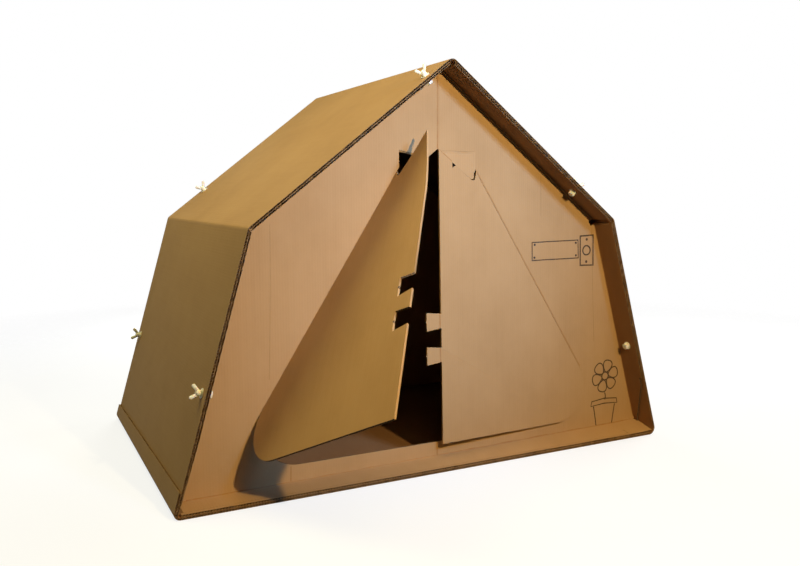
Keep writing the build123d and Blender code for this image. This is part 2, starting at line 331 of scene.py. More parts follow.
def crease_material(sheets, name="crushed_and_shaded_crease", dark=None, pale=None):
    """Crushed paper in a crease: browner, rubbed and rough, and darker as painted shade of the
    groove.
    """
    material, tree, shader = fresh_material(name)
    place = add(tree, "TexCoord").outputs["Object"]
    rub = grain(tree, place, 90.0, 4.0, 0.65)
    fibres = grain(tree, place, 900.0, 3.0, 0.7)
    tone = weighted(tree, (rub, 0.6), (fibres, 0.4))
    colour = ramp(tree, tone, ((0.36, dark or sheets.crease), (0.66, pale or sheets.kraft_dark)))
    dress_shader(tree, shader, colour, (fibres, 0.7, 0.9), 0.1, (tone, 0.5, 0.3 * MM))
    return material


def cut_material(sheets):
    """Cut edge of a sheet: two paper faces and the wave between them, over dark gaps that are
    painted shade inside the flutes' hollows.
    """
    material, tree, shader = fresh_material("cut_card")
    place = add(tree, "UVMap", uv_map=SHEET_UV).outputs[0]
    wave, depth = flute_wave(tree, place, sheets.flute)
    centred = math_node(tree, "SUBTRACT", math_node(tree, "DIVIDE", depth, sheets.card), 0.5)
    off_wave = math_node(tree, "SUBTRACT", centred, math_node(tree, "MULTIPLY", wave, 0.36))
    near_wave = spread(tree, math_node(tree, "ABSOLUTE", off_wave), 0.06, 0.14, 1.0, 0.0)
    near_face = spread(tree, math_node(tree, "ABSOLUTE", centred), 0.34, 0.42, 0.0, 1.0)
    paper = math_node(tree, "MAXIMUM", near_wave, near_face)
    fray = grain(tree, place, (900.0, 900.0, 1.0), 3.0, 0.7)
    paper = math_node(tree, "MULTIPLY", paper, spread(tree, fray, 0.25, 0.6, 0.45, 1.0))
    colour = ramp(tree, paper, ((0.0, sheets.gap), (0.55, sheets.edge), (1.0, sheets.kraft)))
    dress_shader(tree, shader, colour, (fray, 0.75, 0.95), 0.08, (paper, 0.6, 0.4 * MM))
    return material


def flute_material(sheets):
    """Fluted paper between the faces, and its cut ends: coarse, fibrous and browner."""
    material, tree, shader = fresh_material("fluted_paper")
    place = add(tree, "TexCoord").outputs["Object"]
    fray = grain(tree, place, 700.0, 4.0, 0.7)
    patch = grain(tree, place, 60.0, 3.0, 0.6)
    tone = weighted(tree, (fray, 0.55), (patch, 0.45))
    colour = ramp(tree, tone, ((0.35, sheets.gap), (0.52, sheets.edge), (0.66, sheets.kraft)))
    dress_shader(tree, shader, colour, (fray, 0.78, 0.95), 0.08, (fray, 0.5, 0.3 * MM))
    return material


def nylon_material(fasteners):
    """Moulded nylon: ivory with duller patches and a fine moulded skin."""
    material, tree, shader = fresh_material("moulded_nylon")
    place = add(tree, "TexCoord").outputs["Object"]
    patch = grain(tree, place, 130.0, 3.0, 0.55)
    skin = grain(tree, place, 2600.0, 2.0, 0.5)
    colour = ramp(tree, patch, ((0.3, fasteners.nylon_shade), (0.62, fasteners.nylon)))
    dress_shader(tree, shader, colour, (skin, 0.36, 0.52), 0.5, (skin, 0.25, 0.1 * MM))
    shader.inputs["Subsurface Weight"].default_value = 0.12
    shader.inputs["Subsurface Scale"].default_value = 2 * MM
    return material


def ink_material(drawings):
    """Printing ink: thin and broken where the paper's fibres show through."""
    material, tree, shader = fresh_material("printing_ink")
    place = add(tree, "TexCoord").outputs["Object"]
    wear = grain(tree, place, 260.0, 4.0, 0.65)
    colour = ramp(tree, wear, ((0.42, drawings.ink), (0.68, drawings.ink_worn)))
    dress_shader(tree, shader, colour, (wear, 0.55, 0.8), 0.1)
    return material


def sheet_materials():
    """The finishes of the card, made once and shared by every sheet."""
    sheets = bpy.context.scene.tent_sheets
    makers = (
        ("kraft_liner", kraft_material),
        ("cut_card", cut_material),
        ("fluted_paper", flute_material),
        ("crushed_and_shaded_crease", crease_material),
        ("liner_with_painted_shade", painted_shade_liner_material),
    )
    return [bpy.data.materials.get(name) or make(sheets) for name, make in makers]


# Pieces

def place_piece(name, bm, materials, body, nodes=()):
    """Make a finished mesh into a piece that rides on its body and stands for its nodes."""
    mesh = bpy.data.meshes.new(name)
    bm.to_mesh(mesh)
    bm.free()
    for material in materials:
        mesh.materials.append(material)
    piece = bpy.data.objects.new(name, mesh)
    bpy.context.scene.collection.objects.link(piece)
    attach(piece, body)
    if nodes:
        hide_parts(*nodes)
    return piece


def soften(piece, angle=math.radians(28)):
    """Smooth shading, with every sharper fold kept crisp."""
    piece.data.shade_smooth()
    piece.data.set_sharp_from_angle(angle=angle)


def verts_of(items):
    """The vertices among what a mesh tool made."""
    return [item for item in items if isinstance(item, bmesh.types.BMVert)]


def cut_mesh(bm, point, normal, clear=False):
    """Cut a whole mesh along a plane, and clear what lies past it if asked."""
    bmesh.ops.bisect_plane(
        bm, geom=bm.verts[:] + bm.edges[:] + bm.faces[:], plane_co=point, plane_no=normal,
        clear_outer=clear,
    )


def join_mesh(bm, mesh):
    """Add a mesh to another, and return its vertices there."""
    first = len(bm.verts)
    bm.from_mesh(mesh)
    bm.verts.ensure_lookup_table()
    return bm.verts[first:]


def sheet_face(sheets, side):
    """Y of an end sheet's face: side is -1 at the front and 1 at the back."""
    return side * (sheets.depth / 2 - sheets.inset)


def house_corners(sheets):
    """Sharp outside corners in X and Z: left foot, right foot, right eave, ridge, left eave."""
    half_floor = sheets.floor_width / 2
    half_eave = sheets.eave_width / 2
    return [
        Vector((-half_floor, 0.0)),
        Vector((half_floor, 0.0)),
        Vector((half_eave, sheets.eave_height)),
        Vector((0.0, sheets.ridge_height)),
        Vector((-half_eave, sheets.eave_height)),
    ]


def inward(direction):
    """Normal to the left of a direction in X and Z."""
    return Vector((-direction.y, direction.x))


class Run:
    """Line of straight runs with rounded corners in X and Z, with the inward normal along it."""

    def __init__(self, corners, radii, arc_step=math.radians(9)):
        self.points, self.normals, self.folds = [], [], []
        self._put(corners[0], inward((corners[1] - corners[0]).normalized()))
        for before, corner, after, radius in zip(corners, corners[1:], corners[2:], radii):
            start, end = (corner - before).normalized(), (after - corner).normalized()
            turn = start.angle(end)
            first = corner - start * radius * math.tan(turn / 2)
            middle = first + inward(start) * radius
            steps = max(2, round(turn / arc_step))
            for step in range(steps + 1):
                normal = inward(Matrix.Rotation(turn * step / steps, 2) @ start)
                self._put(middle - normal * radius, normal)
            self.folds.append(len(self.points) - 1 - steps // 2)
        self._put(corners[-1], inward((corners[-1] - corners[-2]).normalized()))
        self.along = [0.0]
        for a, b in zip(self.points, self.points[1:]):
            self.along.append(self.along[-1] + (b - a).length)
        self.length = self.along[-1]
        self.folds = [self.along[index] for index in self.folds]

    def _put(self, point, normal):
        self.points.append(point)
        self.normals.append(normal)

    def at(self, along, hint=0):
        """Point and inward normal at a length along the line."""
        index = hint
        while index < len(self.along) - 2 and self.along[index + 1] < along:
            index += 1
        share = (along - self.along[index]) / (self.along[index + 1] - self.along[index])
        point = self.points[index].lerp(self.points[index + 1], share)
        return point, self.normals[index].lerp(self.normals[index + 1], share).normalized()


def strip_layers(bm):
    """Vertex layers that a strip of card keeps: length along it, its ply and its row."""
    floats, whole = bm.verts.layers.float, bm.verts.layers.int
    return (
        floats.get("along") or floats.new("along"),
        whole.get("ply") or whole.new("ply"),
        whole.get("row") or whole.new("row"),
    )


def ribbon(bm, rows, near_y, far_y, ply):
    """One ply as a closed prism: rows of (length, near point, far point) drawn along Y."""
    along, plies, row_of = strip_layers(bm)
    chain = []
    for index, (length, near, _) in enumerate(rows):
        vert = bm.verts.new((near.x, near_y, near.y))
        vert[along], vert[plies], vert[row_of] = length, ply, index
        chain.append(vert)
    edges = [bm.edges.new(pair) for pair in zip(chain, chain[1:])]
    grown = bmesh.ops.extrude_edge_only(bm, edges=edges)["geom"]
    for vert in verts_of(grown):
        far = rows[vert[row_of]][2]
        vert.co = (far.x, near_y, far.y)
    faces = [item for item in grown if isinstance(item, bmesh.types.BMFace)]
    moved = verts_of(bmesh.ops.extrude_face_region(bm, geom=faces)["geom"])
    bmesh.ops.translate(bm, verts=moved, vec=(0.0, far_y - near_y, 0.0))


def corrugated(bm, run, sheets, near_y, far_y, pitch, thickness, marks=()):
    """Two paper faces and the fluted paper between them, along a line."""
    stops = {0.0, run.length, *run.along, *marks}
    for fold in run.folds:
        for reach in (-2.0, -1.4, -0.9, -0.5, 0.5, 0.9, 1.4, 2.0):
            stops.add(min(max(fold + reach * sheets.pinch_reach, 0.0), run.length))
    outer, inner, middle = [], [], []
    for length in sorted(stops):
        point, normal = run.at(length)
        full = thickness(length)
        outer.append((length, point, point + normal * sheets.liner))
        inner.append((length, point + normal * (full - sheets.liner), point + normal * full))
    steps = max(2, round(run.length / pitch * sheets.flute_steps))
    hint = 0
    for step in range(steps + 1):
        length = run.length * step / steps
        while hint < len(run.along) - 2 and run.along[hint + 1] < length:
            hint += 1
        point, normal = run.at(length, hint)
        full = thickness(length)
        swing = full / 2 - sheets.liner - sheets.medium / 2
        level = full / 2 + swing * math.sin(2 * math.pi * length / pitch)
        near = point + normal * (level - sheets.medium / 2)
        middle.append((length, near, near + normal * sheets.medium))
    for rows, ply in ((outer, OUTER), (middle, MIDDLE), (inner, INNER)):
        ribbon(bm, rows, near_y, far_y, ply)


def dress_strips(bm, faces):
    """Finish and map strip faces: paper faces along the strip, fluted paper and cut ends."""
    along, plies, _ = strip_layers(bm)
    chart = bm.loops.layers.uv.get(SHEET_UV) or bm.loops.layers.uv.new(SHEET_UV)
    bmesh.ops.recalc_face_normals(bm, faces=faces)
    for face in faces:
        paper = face.verts[0][plies] != MIDDLE and abs(face.normal.y) < 0.5
        face.material_index = LINER if paper else FLUTE
        for loop in face.loops:
            loop[chart].uv = (loop.vert[along], loop.vert.co.y)


def build_sleeve():
    """One sheet folded round into floor, walls and roof, closed by a lap on the left wall."""
    sheets = bpy.context.scene.tent_sheets
    left_foot, right_foot, right_eave, ridge, left_eave = house_corners(sheets)
    wall = (left_eave - left_foot).normalized()
    lap_room, floor_room = 1.02, 1.1
    left_fold, eave_fold = 14 * MM, 12 * MM
    crush_shares = (0.4, 0.6, 1.0, 1.0, 1.0)
    step = inward(wall) * sheets.card * lap_room
    lap_end = left_foot + wall * sheets.lap + step
    lap_foot = left_foot + Vector((step.x - wall.x / wall.y * step.y, 0.0))
    wall_end = left_foot + wall * (sheets.layer * floor_room / wall.y)
    run = Run(
        [lap_end, lap_foot, right_foot, right_eave, ridge, left_eave, wall_end],
        (left_fold, sheets.foot_fold, eave_fold, sheets.ridge_fold, eave_fold),
    )

    def thickness(length):
        crush = 0.0
        for fold, share in zip(run.folds, crush_shares):
            crush = max(crush, share * math.exp(-((length - fold) / sheets.pinch_reach) ** 2))
        return sheets.card * (1 - sheets.pinch * crush)

    bm = bmesh.new()
    half = sheets.depth / 2
    corrugated(bm, run, sheets, -half, half, sheets.flute, thickness)
    dress_strips(bm, bm.faces[:])
    along, plies, _ = strip_layers(bm)
    # Painted shade on the sleeve's inner ply
    for face in bm.faces:
        if face.material_index == LINER and face.verts[0][plies] == INNER:
            face.material_index = PAINTED_SHADE
    for vert in bm.verts:
        if vert.co.y > 0 and vert[along] < sheets.lap / 2:
            drop = sheets.lap_slant * (1 - vert[along] / (sheets.lap / 2))
            vert.co -= Vector((wall.x, 0.0, wall.y)) * drop
    soften(place_piece("folded_sleeve", bm, sheet_materials(), "tent", ["sleeve"]))


def merged_copy(node):
    """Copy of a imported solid's mesh with its loose triangles joined into flat faces."""
    bm = bmesh.new()
    bm.from_mesh(frame["nodes"][node].data)
    bmesh.ops.remove_doubles(bm, verts=bm.verts, dist=0.01 * MM)
    bmesh.ops.dissolve_limit(bm, angle_limit=math.radians(0.5), verts=bm.verts, edges=bm.edges)
    for layer in list(bm.loops.layers.uv.values()):
        bm.loops.layers.uv.remove(layer)
    return bm


def flange_runs(sheets):
    """Front edge of each flange as (line, pitch of the flutes along it), for an end sheet."""
    wall_foot, wall_top = 160.91 * MM, 583.5 * MM
    roof_foot, roof_top = 588.0 * MM, 952.6 * MM
    left_wall_foot = 30 * MM
    floor_left, floor_right = -635.4 * MM, 628 * MM
    least_slope = 0.2
    corners = house_corners(sheets)
    lines = []
    for a, b in zip(corners, corners[1:] + corners[:1]):
        along = (b - a).normalized()
        lines.append((a + inward(along) * sheets.layer, along))

    def trimmed(index, *heights):
        """Points of a flange's line at the given heights."""
        point, along = lines[index]
        return [point + along * ((height - point.y) / along.y) for height in heights]

    edges = (
        (1, trimmed(1, wall_foot, wall_top)),
        (2, trimmed(2, roof_foot, roof_top)),
        (3, trimmed(3, roof_top, roof_foot)),
        (4, trimmed(4, wall_top, left_wall_foot)),
        (0, [Vector((floor_left, sheets.layer)), Vector((floor_right, sheets.layer))]),
    )
    return [
        (Run(ends, ()), sheets.flute / max(abs(lines[index][1].x), least_slope))
        for index, ends in edges
    ]


def is_groove(face, normal):
    """Whether a face is a groove's side: narrow, and a little out of the sheet's plane."""
    return 0.6 < abs(normal.y) < 0.97 and face.calc_area() < 0.01


def flat_place(co, normal, face_y, side):
    """Where a point of an end sheet lies when its flanges are folded flat again."""
    middle_height = 0.45
    reach = max(0.0, side * (co.y - face_y))
    out = Vector((normal.x, normal.z))
    if out.length < 0.3:
        return co.x, co.z
    out.normalize()
    if out.dot(Vector((co.x, co.z - middle_height))) < 0:
        out.negate()
    return co.x + out.x * reach, co.z + out.y * reach


def draw_out_corner(bm, sheets):
    """Draw the rounded lower right corner of an end sheet out to the sleeve's tighter fold."""
    slack = 0.01 * MM
    _, foot, eave, _, _ = house_corners(sheets)
    wall = (eave - foot).normalized()
    inwards = (Vector((0.0, 1.0)), inward(wall))
    bisector = (inwards[0] + inwards[1]).normalized()
    half_sine = bisector.dot(inwards[0])
    packed = foot + bisector * sheets.packed_foot / half_sine
    tight = foot + bisector * sheets.foot_fold / half_sine
    offset = packed - tight
    for vert in bm.verts:
        arm = Vector((vert.co.x, vert.co.z)) - packed
        radius = arm.length
        if arm.x < slack or arm.dot(wall) > -slack or radius < sheets.packed_foot / 2:
            continue
        arm.normalize()
        reach = min(radius / max(-arm.dot(normal), 0.01) for normal in inwards)
        tight_radius = sheets.foot_fold - sheets.packed_foot + radius
        if tight_radius > 0:
            along = arm.dot(offset)
            root = along * along - offset.length_squared + tight_radius ** 2
            if root > 0:
                point = offset + arm * (math.sqrt(root) - along)
                if point.x > 0 and point.dot(wall) < 0:
                    reach = math.sqrt(root) - along
        place = packed + arm * reach
        vert.co.x, vert.co.z = place.x, place.y


def fold_rise(sheets, x):
    """How far the front sheet's bottom fold has risen at X, from left of the middle onwards."""
    half = sheets.floor_width / 2
    start_share = 0.6
    return sheets.fold_lift * max(0.0, (x + half * start_share) / (half * (1 + start_share)))


def lift_fold(bm, sheets):
    """Lift the bottom fold of the front sheet a little towards the right."""
    top, fade, near = 42 * MM, 28 * MM, 9 * MM
    face_y = sheet_face(sheets, -1)
    for vert in bm.verts:
        low = min(1.0, (top - vert.co.z) / fade)
        if low > 0 and abs(vert.co.y - face_y) < near:
            vert.co.z += fold_rise(sheets, vert.co.x) * low


def foot_gusset(bm, sheets, edge_y):
    """Right end of the front sheet's bottom flange, which closes its corner with the wall."""
    left_x, face_x, edge_x = 560 * MM, 638.5 * MM, 637.2 * MM
    face_y = sheet_face(sheets, -1)
    lift = sheets.fold_lift
    inside = 2 * sheets.layer
    outline = (
        (left_x, face_y, inside + lift * 0.92 - 0.3 * MM),
        (face_x, face_y, inside + lift + 2.5 * MM),
        (edge_x, edge_y, inside + 1.2 * MM),
        (left_x, edge_y, inside - 1.8 * MM),
    )
    plate = bm.faces.new([bm.verts.new(corner) for corner in outline])
    low = verts_of(bmesh.ops.extrude_face_region(bm, geom=[plate])["geom"])
    bmesh.ops.translate(bm, verts=low, vec=(0.0, 0.0, -MM))
    faces = {face for vert in low for face in vert.link_faces} | {plate}
    bmesh.ops.recalc_face_normals(bm, faces=list(faces))


def dress_sheet(bm, sheets, side):
    """Finish and map the faces of an end sheet."""
    face_y = sheet_face(sheets, side)
    corners = house_corners(sheets)
    normals = [inward((b - a).normalized()) for a, b in zip(corners, corners[1:] + corners[:1])]
    chart = bm.loops.layers.uv.new(SHEET_UV)
    for face in bm.faces:
        across = Vector((face.normal.x, face.normal.z))
        on_flange = side * (face.calc_center_median().y - face_y) > 3 * MM
        if on_flange:
            paper = max(abs(across.dot(normal)) for normal in normals) > 0.97
        else:
            paper = abs(face.normal.y) > 0.4
        face.material_index = LINER if paper else CUT
        # Groove sides take the crease colour: crushed paper and painted shade
        if is_groove(face, face.normal) and not on_flange:
            face.material_index = CREASE
        # Painted shade on the inner faces of the flanges
        if paper and on_flange and abs(face.normal.z) < 0.95:
            face.material_index = PAINTED_SHADE
        for loop in face.loops:
            co = loop.vert.co
            if paper:
                loop[chart].uv = flat_place(co, face.normal, face_y, side)
            elif on_flange:
                loop[chart].uv = (co.z, sheets.card / 2)
            else:
                loop[chart].uv = (co.x, side * (face_y - co.y))


def flute_edges(bm, sheets, edge_y, cut_y):
    """Add the open edges of an end sheet's flanges; the left wall's one thins to its foot."""
    taper_length, taper_share, low_end = 130 * MM, 0.75, 40 * MM
    solid = set(bm.faces)
    for run, pitch in flange_runs(sheets):
        taper = run.length
        if run.points[-1].y < low_end < run.points[0].y:
            taper -= taper_length

        def thickness(length):
            return sheets.card * (1 - taper_share * max(0.0, (length - taper) / taper_length))

        corrugated(bm, run, sheets, edge_y, cut_y, pitch, thickness, (taper,))
    strips = [face for face in bm.faces if face not in solid]
    dress_strips(bm, strips)
    # Painted shade on the paper of the flanges' open edges too
    for face in strips:
        if face.material_index == LINER and abs(face.normal.z) < 0.95:
            face.material_index = PAINTED_SHADE


def build_end_sheet(name, node, side):
    """An end sheet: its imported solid, with the flutes showing along the edges of its flanges."""
    sheets = bpy.context.scene.tent_sheets
    edge_y = side * (sheets.depth / 2 - sheets.setback)
    cut_y = edge_y - side * sheets.edge_depth
    bm = merged_copy(node)
    cut_mesh(bm, (0.0, cut_y, 0.0), (0.0, side, 0.0), clear=True)
    bmesh.ops.holes_fill(bm, edges=[edge for edge in bm.edges if edge.is_boundary], sides=0)
    draw_out_corner(bm, sheets)
    if side < 0:
        lift_fold(bm, sheets)
        foot_gusset(bm, sheets, edge_y)
    bm.normal_update()
    dress_sheet(bm, sheets, side)
    flute_edges(bm, sheets, edge_y, cut_y)
    soften(place_piece(name, bm, sheet_materials(), "tent", [node]))


def closing_turn(joint):
    """Turn that brings a door from its rest to closed."""
    pivot = Vector(joint["pos_m"])
    turn = Matrix.Rotation(math.radians(joint["range_deg"][0]), 4, Vector(joint["axis"]))
    return Matrix.Translation(pivot) @ turn @ Matrix.Translation(-pivot)


def bend_tip(bm, sheets, joint):
    """Bend a door's free top corner outwards, more the nearer a point lies to the tip."""
    low, tip, cuts, free = 600 * MM, 762 * MM, 6, 60 * MM
    closing = closing_turn(joint)
    opening = closing.inverted()
    up = opening.to_3x3() @ Vector((0.0, 0.0, 1.0))
    out = opening.to_3x3() @ Vector((0.0, -1.0, 0.0))
    hinge, axis = Vector(joint["pos_m"]), Vector(joint["axis"])
    for step in range(cuts):
        level = low + (tip - low) * step / cuts
        cut_mesh(bm, opening @ Vector((0.0, sheet_face(sheets, -1), level)), up)
    for vert in bm.verts:
        flat = closing @ vert.co
        share = (flat.z - low) / (tip - low)
        if share > 0:
            arm = flat - hinge
            away = arm.z * axis.x - arm.x * axis.z
            bend = sheets.tip_bend * share ** 1.4 * min(1.0, max(0.0, away / free))
            vert.co += out * bend


def build_door(name, node, body, joint_name):
    """A door flap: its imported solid, mapped as it lay in the flat sheet."""
    sheets = bpy.context.scene.tent_sheets
    face_y = sheet_face(sheets, -1)
    joint = next(item for item in frame["joints"] if item["name"] == joint_name)
    closing = closing_turn(joint)
    bm = merged_copy(node)
    if body == "left_flap":
        bend_tip(bm, sheets, joint)
    bm.normal_update()
    chart = bm.loops.layers.uv.new(SHEET_UV)
    for face in bm.faces:
        normal = closing.to_3x3() @ face.normal
        paper = abs(normal.y) > 0.4
        face.material_index = LINER if paper or abs(normal.x) > 0.85 else CUT
        # Groove sides take the crease colour: crushed paper and painted shade
        if is_groove(face, normal):
            face.material_index = CREASE
        for loop in face.loops:
            co = closing @ loop.vert.co
            loop[chart].uv = (co.x, co.z) if paper else (co.x, co.y - face_y)
    soften(place_piece(name, bm, sheet_materials(), body, [node]))


# Fasteners

def fastener_places():
    """Frame of each fastener on the outside of the sleeve, its Z pointing outwards."""
    sheets, fasteners = bpy.context.scene.tent_sheets, bpy.context.scene.tent_fasteners
    left_foot, right_foot, right_eave, ridge, left_eave = house_corners(sheets)
    places = []
    for end in (-1, 1):
        y = end * (sheets.depth / 2 - fasteners.inset)
        for side in (-1, 1):
            eave = right_eave if side > 0 else left_eave
            foot = right_foot if side > 0 else left_foot
            wall = foot.lerp(eave, fasteners.wall_height / sheets.eave_height)
            slope = (eave - ridge).normalized()
            length = (eave - ridge).length
            down = fasteners.ridge_offset if end * side > 0 else length - fasteners.eave_offset
            for point, run in ((wall, eave - foot), (ridge + slope * down, ridge - eave)):
                out = inward(run.normalized()) * -side
                z_axis = Vector((out.x, 0.0, out.y))
                x_axis = Vector((0.0, 1.0, 0.0))
                turn = Matrix((x_axis, z_axis.cross(x_axis), z_axis)).transposed().to_4x4()
                places.append(Matrix.Translation((point.x, y, point.y)) @ turn)
    return places


def disc(bm, radius, foot, height, top=None, segments=28, round_off=0.0):
    """A round or tapered disc that stands on foot, with its rims rounded off."""
    made = bmesh.ops.create_cone(
        bm, cap_ends=True, segments=segments, radius1=radius, radius2=top or radius, depth=height,
        matrix=Matrix.Translation((0.0, 0.0, foot + height / 2)),
    )["verts"]
    if round_off:
        rims = {
            edge for vert in made for edge in vert.link_edges
            if abs(edge.verts[0].co.z - edge.verts[1].co.z) < height * 0.1
        }
        bmesh.ops.bevel(
            bm, geom=list(rims), offset=round_off, affect="EDGES", segments=2, profile=0.5,
            material=-1,
        )


def ear(bm, fasteners, side):
    """One round-tipped ear of a wing nut: the skin stretched over two balls, then flattened."""
    root_reach, root_rise, root_radius = 3.0 * MM, 6.5 * MM, 3.6 * MM
    balls = []
    for x, rise, radius in (
        (root_reach, root_rise, root_radius),
        (fasteners.wing_reach, fasteners.wing_rise, fasteners.wing_radius),
    ):
        centre = Matrix.Translation((side * x, 0.0, fasteners.washer + rise))
        balls += bmesh.ops.create_uvsphere(
            bm, u_segments=12, v_segments=8, radius=radius, matrix=centre
        )["verts"]
    edges = {edge for vert in balls for edge in vert.link_edges}
    bmesh.ops.delete(bm, geom=list(edges), context="EDGES_FACES")
    skin = bmesh.ops.convex_hull(bm, input=balls)
    spare = set(verts_of(skin["geom_interior"] + skin["geom_unused"]))
    bmesh.ops.delete(bm, geom=list(spare), context="VERTS")
    kept = [vert for vert in balls if vert.is_valid]
    flat = fasteners.wing_thickness / (2 * fasteners.wing_radius)
    bmesh.ops.scale(bm, verts=kept, vec=(1.0, flat, 1.0))


def wing_nut_mesh(fasteners):
    """A wing nut on its washer, at the origin."""
    bm = bmesh.new()
    washer, foot, top = fasteners.washer, fasteners.nut_foot, fasteners.nut_top
    disc(bm, fasteners.nut_washer, 0.0, washer, segments=32, round_off=0.4 * MM)
    disc(bm, foot, washer * 0.9, fasteners.nut_height, top, 24, 0.6 * MM)
    for side in (-1, 1):
        ear(bm, fasteners, side)
    return bm


def screw_mesh(sheets, fasteners):
    """A hexagon screw with its washer, from inside the tent to its end past the nut."""
    bm = bmesh.new()
    washer, head, past_nut = fasteners.washer, fasteners.head_height, 2 * MM
    seat = -2 * sheets.layer
    end = washer + fasteners.nut_height + past_nut
    corner_radius = fasteners.head_flats / math.sqrt(3)
    disc(bm, fasteners.head_washer, seat - washer, washer, round_off=0.4 * MM)
    disc(bm, corner_radius, seat - washer - head, head, segments=6, round_off=1.6 * MM)
    disc(bm, fasteners.screw, seat, end - seat, segments=20, round_off=0.5 * MM)
    return bm


def stamp(bm, model, places):
    """Add a copy of a small model at every place."""
    mesh = bpy.data.meshes.new("fastener")
    model.to_mesh(mesh)
    model.free()
    for place in places:
        bmesh.ops.transform(bm, matrix=place, verts=join_mesh(bm, mesh))
    bpy.data.meshes.remove(mesh)


def build_fasteners():
    """Eight nylon screws with their washers, and the wing nuts on the outside."""
    sheets, fasteners = bpy.context.scene.tent_sheets, bpy.context.scene.tent_fasteners
    nylon = nylon_material(fasteners)
    turns = (92.0, 84.0, 110.0, 65.0, 88.0, 96.0, 120.0, 75.0)
    places = fastener_places()
    nuts = bmesh.new()
    stamp(nuts, wing_nut_mesh(fasteners), [
        place @ Matrix.Rotation(math.radians(turn), 4, "Z") for place, turn in zip(places, turns)
    ])
    screws = bmesh.new()
    stamp(screws, screw_mesh(sheets, fasteners), places)
    for bm, node in ((nuts, "wing_nuts"), (screws, "screws")):
        bmesh.ops.recalc_face_normals(bm, faces=bm.faces)
        piece = place_piece("nylon_" + node, bm, [nylon], "tent", [node])
        soften(piece, math.radians(40))


# Drawings

def stroke_mesh(strokes, width):
    """Flat mesh of hand-drawn strokes in X and Z; each is (points, closed, smooth)."""
    curve = bpy.data.curves.new("strokes", "CURVE")
    curve.dimensions = "3D"
    curve.bevel_depth = width / 2
    curve.bevel_resolution = 1
    curve.use_fill_caps = True
    for points, closed, smooth in strokes:
        spline = curve.splines.new("NURBS" if smooth else "POLY")
        spline.points.add(len(points) - 1)
        for knot, (x, z) in zip(spline.points, points):
            knot.co = (x * MM, 0.0, z * MM, 1.0)
        spline.use_cyclic_u = closed
        if smooth:
            spline.order_u = 3
            spline.resolution_u = 5
            spline.use_endpoint_u = not closed
    holder = bpy.data.objects.new("strokes", curve)
    mesh = bpy.data.meshes.new_from_object(holder)
    bpy.data.objects.remove(holder)
    bpy.data.curves.remove(curve)
    return mesh


def ring(x, z, radius, wobble, count=9):
    """Points round a hand-drawn circle."""
    points = []
    for index in range(count):
        angle = 2 * math.pi * index / count
        wide = radius * (1 + wobble * math.sin(3.1 * index))
        high = radius * (1 + wobble * math.cos(2.3 * index))
        points.append((x + wide * math.cos(angle), z + high * math.sin(angle)))
    return points


def lay_strokes(bm, strokes, width, film, face_y):
    """Add strokes to a mesh as a thin film on the face of the front sheet."""
    mesh = stroke_mesh(strokes, width)
    fresh = join_mesh(bm, mesh)
    bpy.data.meshes.remove(mesh)
    for vert in fresh:
        for face in vert.link_faces:
            face.smooth = False
    bmesh.ops.scale(bm, verts=fresh, vec=(1.0, film * 2 / width, 1.0))
    bmesh.ops.translate(bm, verts=fresh, vec=(0.0, face_y - film * 0.2, 0.0))


def petal(x, z, angle, reach, spread_angle):
    """Points round one petal that grows from the middle of a flower."""
    root, shoulder = 11, reach * 0.72
    knots = (
        (root, -0.55), (shoulder, -1.0), (reach, -0.5), (reach, 0.5), (shoulder, 1.0), (root, 0.55)
    )
    turns = [(radius, angle + side * spread_angle) for radius, side in knots]
    return [(x + radius * math.cos(turn), z + radius * math.sin(turn)) for radius, turn in turns]


def build_drawings():
    """Blank name plate, bell push and a flower in a pot, drawn in line on the front sheet.

    Points are X and Z in millimetres.
    """
    sheets, drawings = bpy.context.scene.tent_sheets, bpy.context.scene.tent_drawings
    face_y = sheet_face(sheets, -1)
    flower, petals, petal_reach, petal_spread = (526, 160), 6, 46, 0.54
    plate_screws = ((284, 494), (284, 527), (416, 528), (417, 495))
    fine = [
        (ring(452, 536, 2.4, 0.1, 6), True, True),
        (ring(452, 477, 2.4, 0.1, 6), True, True),
        ([(526, 114), (531, 104), (527, 94)], False, True),
        ([(479, 80), (482, 93), (525, 98), (568, 94), (571, 81), (525, 84)], True, False),
        ([(488, 79), (495, 48), (500, 13)], False, True),
        ([(562, 79), (556, 48), (552, 13)], False, True),
        ([(500, 14), (526, 12), (552, 14)], False, True),
    ]
    fine += [(ring(x, z, 1.8, 0.1, 6), True, True) for x, z in plate_screws]
    for index in range(petals):
        turn = 2 * math.pi * index / petals + 0.25
        fine.append((petal(*flower, turn, petal_reach, petal_spread), True, True))
    bold = [
        ([(277, 487), (276, 533), (423, 535), (425, 488)], True, False),
        (ring(452, 507, 13, 0.05), True, True),
        (ring(*flower, 12, 0.05), True, True),
    ]
    bell_frame = [([(432, 468), (430, 545), (473, 547), (475, 467)], True, False)]
    bm = bmesh.new()
    for strokes, share in ((fine, 1.0), (bold, 1.25), (bell_frame, 1.7)):
        lay_strokes(bm, strokes, drawings.line * share, drawings.film, face_y)
    place_piece("printed_drawings", bm, [ink_material(drawings)], "tent")


